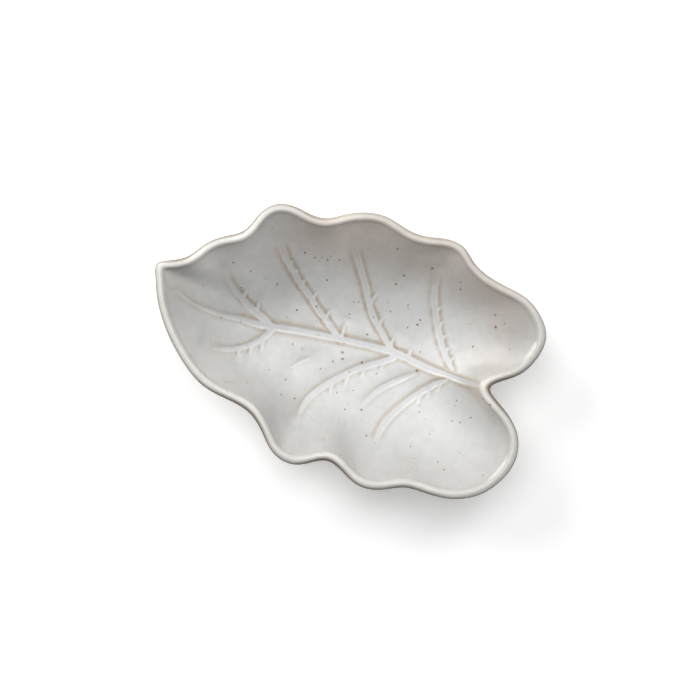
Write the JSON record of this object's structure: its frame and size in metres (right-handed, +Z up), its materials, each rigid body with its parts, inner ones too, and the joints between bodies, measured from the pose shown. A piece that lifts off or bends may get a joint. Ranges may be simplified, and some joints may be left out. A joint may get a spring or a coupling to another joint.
{
  "type": "ring dish",
  "caption": "Shallow leaf-shaped stoneware dish with impressed veins and a rolled wavy lip on a low foot ring, for holding rings and small jewellery.",
  "frame": {"origin": "on the table surface, under the middle of the dish's length and width", "axes": "+X from the leaf's tip to its stalk notch, +Z up, +Y across the leaf to the left of +X seen from above"},
  "size_m": [0.1499, 0.0984, 0.027],
  "materials": {
    "clay": "fired stoneware body, pale buff with fine dark flecks, matt where it shows above the foot",
    "bare_foot": "bare fired stoneware, sanded smooth, matt",
    "glaze": "satin off-white glaze with brown specks, breaking to brown at the edges of the veins and the lip",
    "pooled_glaze": "thicker satin glaze pooled in the veins, slightly bluish white"
  },
  "bodies": {
    "root": {"clay_body": "clay", "foot_ring": "bare_foot", "glaze_coat": "glaze", "vein_glaze": "pooled_glaze"}
  },
  "joints": []
}
